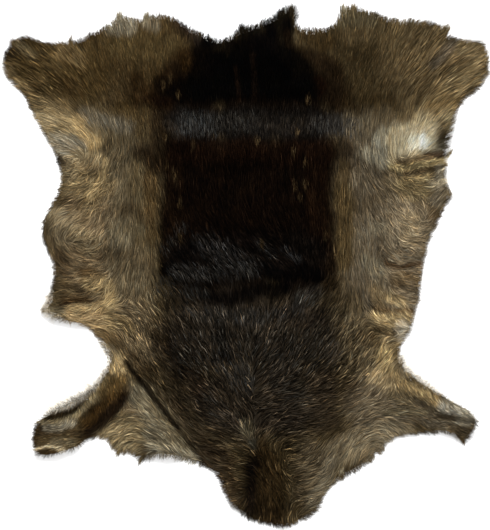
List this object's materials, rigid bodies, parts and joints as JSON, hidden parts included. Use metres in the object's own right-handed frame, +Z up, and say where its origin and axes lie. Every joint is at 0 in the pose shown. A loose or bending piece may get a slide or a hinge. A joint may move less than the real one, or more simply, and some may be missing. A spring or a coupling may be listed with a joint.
{
  "type": "deerskin",
  "caption": "Whole deerskin with its hair on, laid out flat with soft folds, leg skins at the corners and a rounded neck.",
  "frame": {"origin": "on the ground, under the middle of the hide's outline", "axes": "+Z up, out of the hair; +Y along the back towards the rump; +X across the hide"},
  "size_m": [0.9816, 1.0544, 0.0354],
  "materials": {
    "hair": "deer hair, dark on the back and golden at the belly",
    "skin": "pale suede on the flesh side and at the cut edge"
  },
  "bodies": {
    "root": {"deerskin": "hair"}
  },
  "joints": []
}
